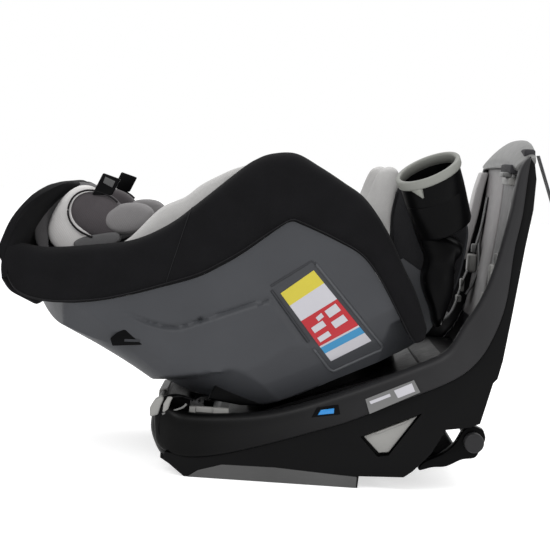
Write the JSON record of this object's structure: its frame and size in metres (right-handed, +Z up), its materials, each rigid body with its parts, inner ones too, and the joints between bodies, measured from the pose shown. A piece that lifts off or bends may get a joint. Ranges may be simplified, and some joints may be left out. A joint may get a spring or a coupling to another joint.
{
  "type": "convertible car seat",
  "caption": "Rotating convertible child car seat with a padded bucket, headrest, harness, cup holder and a reclining base with a rebound panel.",
  "frame": {"origin": "on the base's flat underside, below the turntable's centre", "axes": "+X from the head end towards the feet, +Z up, the cup holder on the -Y side"},
  "size_m": [0.8686, 0.491, 0.549],
  "materials": {
    "base_black": "satin",
    "rail_grey": "satin",
    "rubber_black": "matte",
    "light_plastic": "satin",
    "trim_black": "satin",
    "blue_lens": "gloss",
    "label_print": "gloss",
    "steel": "satin",
    "shell_grey": "satin",
    "black_fabric": "matte",
    "light_fabric": "matte",
    "charcoal_fabric": "matte",
    "mid_fabric": "matte",
    "foam": "matte",
    "webbing": "matte",
    "red_plastic": "gloss"
  },
  "bodies": {
    "base": {"base_tray": "base_black", "grip_strips": "rubber_black", "bowl_liner": "base_black", "side_rail_near": "rail_grey", "side_rail_far": "rail_grey", "side_skirt_near": "base_black", "side_skirt_far": "base_black", "nose_cap": "base_black", "release_frame": "light_plastic", "rebound_panel": "rail_grey", "panel_plates": "light_plastic", "panel_cap": "light_plastic", "belt_guides": "light_plastic", "level_windows": "blue_lens", "rail_labels": "label_print", "rear_foot_pin": "steel", "rear_foot_bushes": "trim_black", "tether_strap": "webbing", "tether_hook": "steel"},
    "recline_handle": {"recline_handle": "light_plastic"},
    "swivel_release": {"swivel_release": "trim_black"},
    "rear_foot": {"rear_foot": "trim_black"},
    "carriage": {"recline_carriage": "trim_black", "bearing_ring": "steel"},
    "seat": {"turntable": "trim_black", "seat_shell": "shell_grey", "crown_hood": "black_fabric", "side_cover_near": "black_fabric", "side_cover_far": "black_fabric", "wing_liner_near": "light_fabric", "wing_liner_far": "light_fabric", "thigh_bolster_near": "light_fabric", "thigh_bolster_far": "light_fabric", "side_labels": "label_print", "back_pad": "mid_fabric", "back_foam": "foam", "seat_pad": "mid_fabric", "pan_foam": "foam", "post_guides": "trim_black", "belt_lock_offs": "trim_black", "harness_straps": "webbing", "shoulder_pads": "black_fabric", "chest_clip": "trim_black", "buckle": "trim_black", "buckle_tongues": "steel", "crotch_strap": "webbing", "harness_adjuster": "trim_black", "adjuster_strap": "webbing", "cup": "trim_black", "cup_ring": "light_plastic", "cup_bracket": "trim_black"},
    "headrest": {"headrest_shell": "trim_black", "headrest_liner": "charcoal_fabric", "head_pillow": "light_fabric", "wing_pad_near": "charcoal_fabric", "wing_pad_far": "charcoal_fabric", "crown_belt_guides": "trim_black"},
    "headrest_handle": {"headrest_handle": "light_plastic"},
    "buckle_button": {"buckle_button": "red_plastic"},
    "adjuster_button": {"adjuster_button": "light_plastic"}
  },
  "joints": [
    {"name": "recline_handle_pull", "type": "slide", "parent": "base", "child": "recline_handle", "axis": [-1, 0, 0], "range_m": [0, 0.01], "stiffness_N_per_m": 600, "springref_m": -0.004},
    {"name": "swivel_release_press", "type": "slide", "parent": "base", "child": "swivel_release", "axis": [0, 0, -1], "range_m": [0, 0.0035], "stiffness_N_per_m": 500, "springref_m": -0.003},
    {"name": "rear_foot_hinge", "type": "hinge", "parent": "base", "child": "rear_foot", "pos_m": [0.24, 0, 0.081], "axis": [0, -1, 0], "range_deg": [0, 22]},
    {"name": "seat_recline", "type": "hinge", "parent": "base", "child": "carriage", "pos_m": [-0.08, 0, 0.371], "axis": [0, 1, 0], "range_deg": [0, 13]},
    {"name": "seat_swivel", "type": "hinge", "parent": "carriage", "child": "seat", "pos_m": [0, 0, 0.15], "axis": [-0.342, 0, 0.9397], "range_deg": [-90, 90]},
    {"name": "headrest_slide", "type": "slide", "parent": "seat", "child": "headrest", "axis": [0.8829, 0, -0.4695], "range_m": [0, 0.1]},
    {"name": "headrest_handle_pull", "type": "slide", "parent": "headrest", "child": "headrest_handle", "axis": [0.4695, 0, 0.8829], "range_m": [0, 0.006], "stiffness_N_per_m": 400, "springref_m": -0.003},
    {"name": "buckle_button_press", "type": "slide", "parent": "seat", "child": "buckle_button", "axis": [0.6184, 0, -0.7859], "range_m": [0, 0.0035], "stiffness_N_per_m": 900, "springref_m": -0.002},
    {"name": "adjuster_button_press", "type": "slide", "parent": "seat", "child": "adjuster_button", "axis": [0, 0, -1], "range_m": [0, 0.0035], "stiffness_N_per_m": 900, "springref_m": -0.002}
  ]
}
